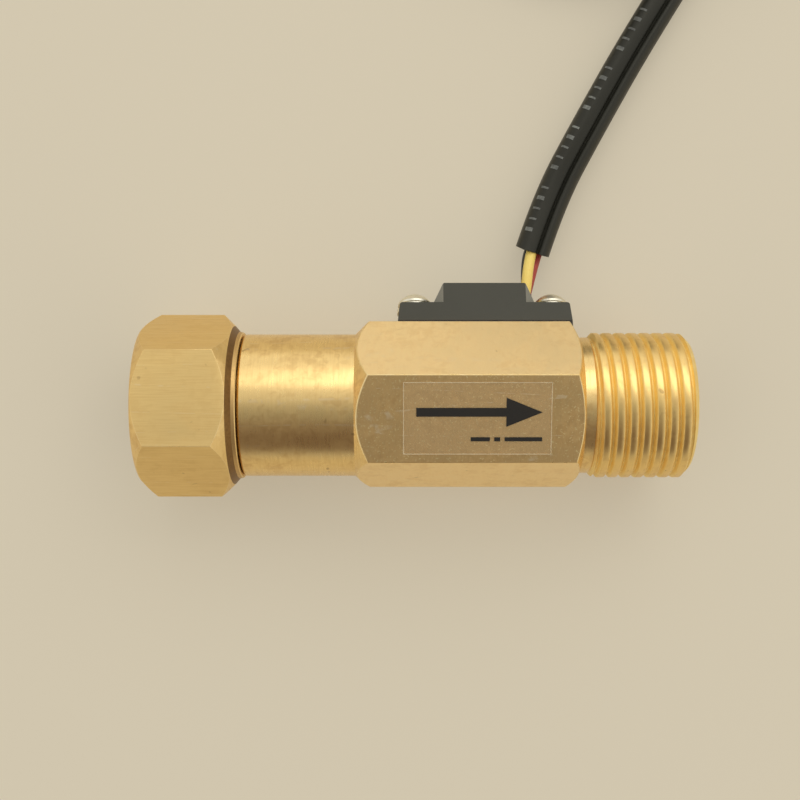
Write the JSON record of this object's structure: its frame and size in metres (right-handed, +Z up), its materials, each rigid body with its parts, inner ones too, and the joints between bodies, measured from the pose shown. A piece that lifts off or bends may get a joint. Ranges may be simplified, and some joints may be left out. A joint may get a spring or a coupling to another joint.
{
  "type": "turbine flow sensor",
  "caption": "In-line brass turbine flow sensor: hexagon body with male outlet thread, swivelling union nut, moulded pick-up housing and a sleeved lead with a plug.",
  "frame": {"origin": "on the flow axis, in the middle of the full outlet thread", "axes": "+X along the flow axis towards the outlet, +Z up from the surface the sensor lies on, and the pick-up housing points towards +Y, a little downwards"},
  "size_m": [0.0961, 0.1471, 0.0238],
  "materials": {
    "brass_body": "turned and milled",
    "brass_nut": "milled flats",
    "spring_steel": "bright",
    "seal_fibre": "matt",
    "white_moulding": "moulded",
    "blue_moulding": "moulded",
    "bearing_ceramic": "polished",
    "magnet": "matt",
    "shaft_steel": "ground",
    "black_moulding": "moulded",
    "board": "laminate",
    "chip": "moulded",
    "resin": "cast",
    "screw_steel": "bright",
    "clear_film": "clear film",
    "yellow_insulation": "soft",
    "red_insulation": "soft",
    "black_insulation": "soft",
    "sleeve": "soft",
    "plug_moulding": "moulded",
    "tinned": "tinned"
  },
  "bodies": {
    "sensor": {"sensor_body": "brass_body", "nut_retaining_ring": "spring_steel", "inlet_gasket": "seal_fibre", "flow_straightener": "white_moulding", "inlet_bearing": "bearing_ceramic", "outlet_bearing": "bearing_ceramic", "rotor_support": "white_moulding", "cartridge_clip": "spring_steel", "housing_gasket": "seal_fibre", "circuit_board": "board", "hall_sensor": "chip", "potting": "resin", "flat_washers": "screw_steel", "spring_washers": "screw_steel", "housing_screws": "screw_steel", "label_film": "clear_film", "wire_yellow": "yellow_insulation", "wire_red": "red_insulation", "wire_black": "black_insulation", "sensor_housing": "black_moulding", "cable_sleeve": "sleeve", "cable_coil": "sleeve", "cable_tail": "sleeve", "plug_housing": "plug_moulding", "plug_contacts": "tinned"},
    "nut": {"union_nut": "brass_nut"},
    "rotor": {"turbine_rotor": "blue_moulding", "rotor_magnet": "magnet", "rotor_shaft": "shaft_steel"}
  },
  "joints": [
    {"name": "nut_swivel", "type": "hinge", "parent": "sensor", "child": "nut", "pos_m": [-0.06275, 0, 0], "axis": [1, 0, 0], "continuous": true},
    {"name": "rotor_spin", "type": "hinge", "parent": "sensor", "child": "rotor", "pos_m": [-0.02185, 0, 0], "axis": [1, 0, 0], "continuous": true}
  ]
}
